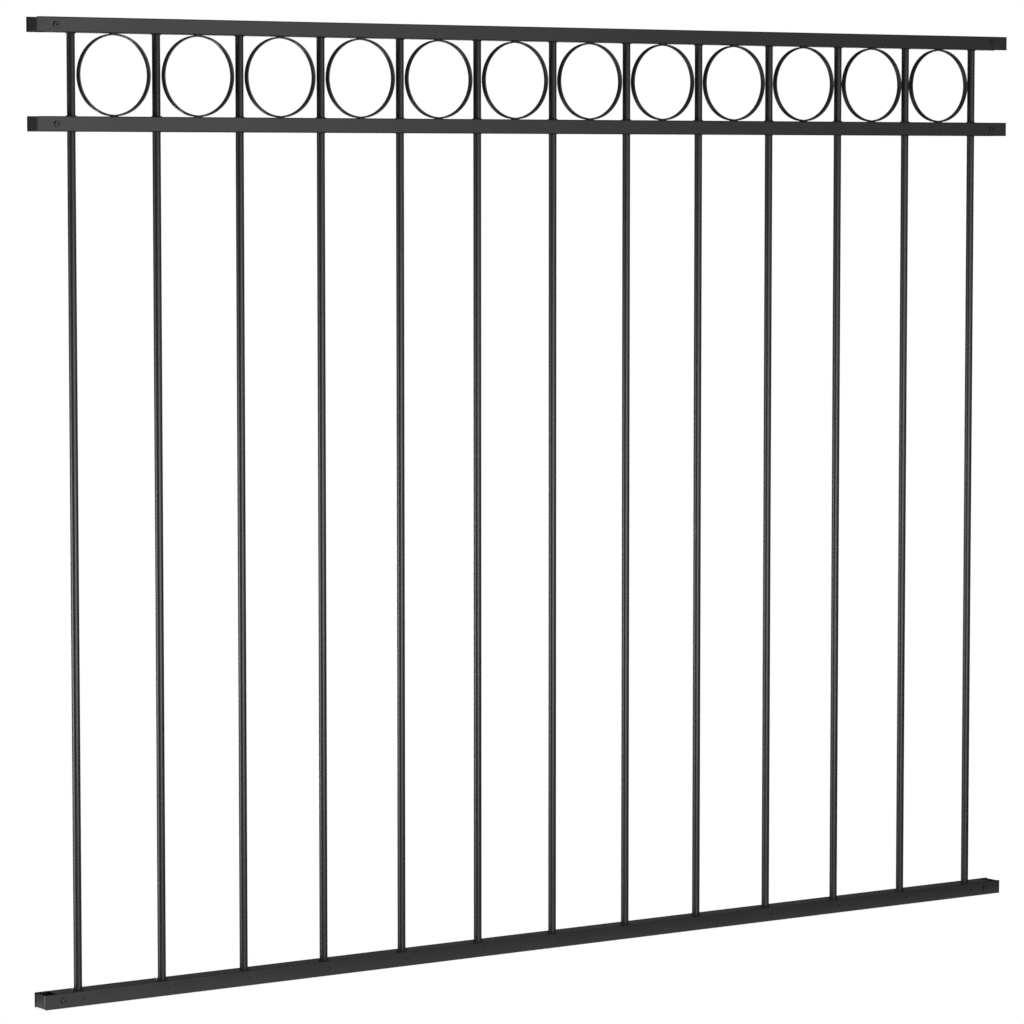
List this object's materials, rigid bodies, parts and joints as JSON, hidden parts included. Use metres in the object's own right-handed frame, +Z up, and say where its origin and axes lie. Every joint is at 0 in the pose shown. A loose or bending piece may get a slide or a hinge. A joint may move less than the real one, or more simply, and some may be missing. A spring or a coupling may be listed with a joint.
{
  "type": "steel fence panel",
  "caption": "Flat ornamental steel fence panel: hollow rails carry round upright bars, with a row of rings between the upper rails; folded brackets close the rail ends and bear on the posts.",
  "frame": {"origin": "middle of the outer face of the bottom left bracket, where the panel bears on its post", "axes": "+X along the panel from left to right seen from the front, +Y from front to back, +Z up"},
  "size_m": [1.65, 0.03, 1.3],
  "materials": {
    "powder_coat": "satin black powder coat on steel"
  },
  "bodies": {
    "root": {"top_rail": "powder_coat", "middle_rail": "powder_coat", "bottom_rail": "powder_coat", "rings": "powder_coat", "bar_01": "powder_coat", "bar_02": "powder_coat", "bar_03": "powder_coat", "bar_04": "powder_coat", "bar_05": "powder_coat", "bar_06": "powder_coat", "bar_07": "powder_coat", "bar_08": "powder_coat", "bar_09": "powder_coat", "bar_10": "powder_coat", "bar_11": "powder_coat", "bar_12": "powder_coat", "bar_13": "powder_coat", "top_left_bracket": "powder_coat", "top_right_bracket": "powder_coat", "middle_left_bracket": "powder_coat", "middle_right_bracket": "powder_coat", "bottom_left_bracket": "powder_coat", "bottom_right_bracket": "powder_coat"}
  },
  "joints": []
}
